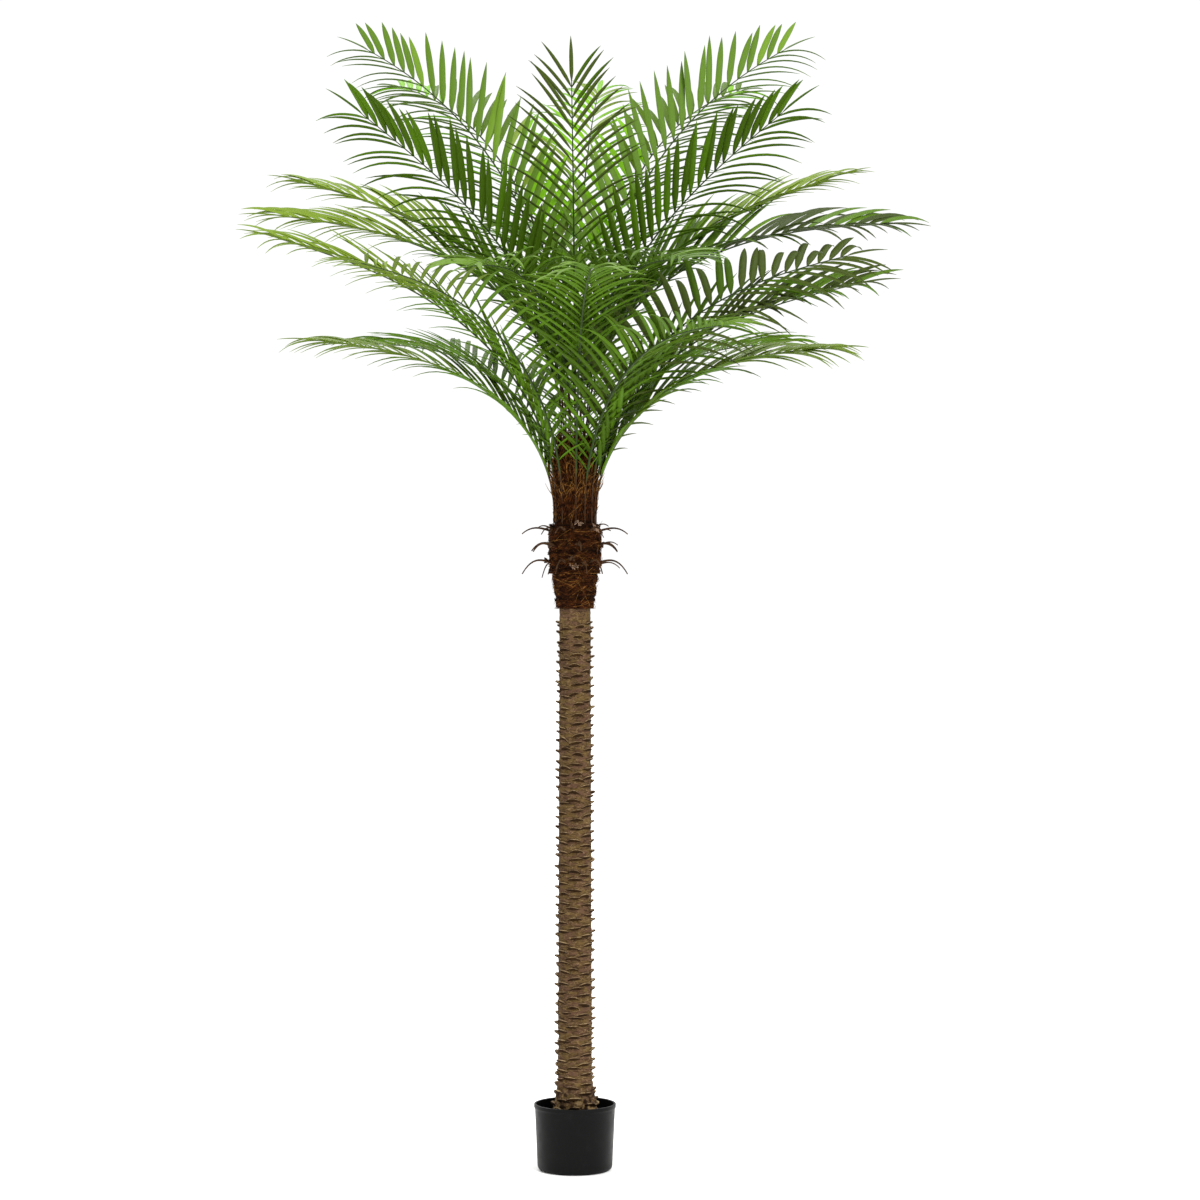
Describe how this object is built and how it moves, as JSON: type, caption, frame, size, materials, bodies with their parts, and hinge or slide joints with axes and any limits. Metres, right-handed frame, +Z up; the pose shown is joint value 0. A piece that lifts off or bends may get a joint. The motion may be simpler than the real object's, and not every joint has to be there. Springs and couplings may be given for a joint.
{
  "type": "artificial palm tree in a pot",
  "caption": "Tall artificial palm with arching feather fronds over a slim scaled trunk with a fibre wrap, standing in a black plastic pot.",
  "frame": {"origin": "middle of the pot's flat underside, under the axis of the trunk", "axes": "+Z up along the trunk, -Y towards the viewer of the picture, +X to the right"},
  "size_m": [1.718, 1.8107, 3.0367],
  "materials": {
    "pot_plastic": "satin black moulded plastic",
    "cement": "rough cast cement",
    "bark": "moulded tan bark with rows of leaf scars",
    "fibre": "red-brown palm fibre wrap",
    "twig": "dark matt cut stalks",
    "leaf": "dyed green leaf cloth with a soft sheen"
  },
  "bodies": {
    "root": {"filling": "cement", "frond_low_1": "leaf", "frond_low_10": "leaf", "frond_low_11": "leaf", "frond_low_2": "leaf", "frond_low_3": "leaf", "frond_low_4": "leaf", "frond_low_5": "leaf", "frond_low_6": "leaf", "frond_low_7": "leaf", "frond_low_8": "leaf", "frond_low_9": "leaf", "frond_middle_1": "leaf", "frond_middle_2": "leaf", "frond_middle_3": "leaf", "frond_middle_4": "leaf", "frond_middle_5": "leaf", "frond_middle_6": "leaf", "frond_middle_7": "leaf", "frond_middle_8": "leaf", "frond_middle_9": "leaf", "frond_top_1": "leaf", "frond_top_2": "leaf", "frond_top_3": "leaf", "frond_top_4": "leaf", "frond_top_5": "leaf", "frond_top_6": "leaf", "lower_sleeve": "fibre", "main_sleeve": "fibre", "pot": "pot_plastic", "trunk": "bark", "twig_1_1": "twig", "twig_1_2": "twig", "twig_1_3": "twig", "twig_1_4": "twig", "twig_1_5": "twig", "twig_1_6": "twig", "twig_2_1": "twig", "twig_2_2": "twig", "twig_2_3": "twig", "twig_2_4": "twig", "twig_2_5": "twig", "twig_2_6": "twig", "twig_3_1": "twig", "twig_3_2": "twig", "twig_3_3": "twig", "twig_3_4": "twig", "twig_3_5": "twig", "twig_3_6": "twig", "upper_sheath": "fibre"}
  },
  "joints": []
}
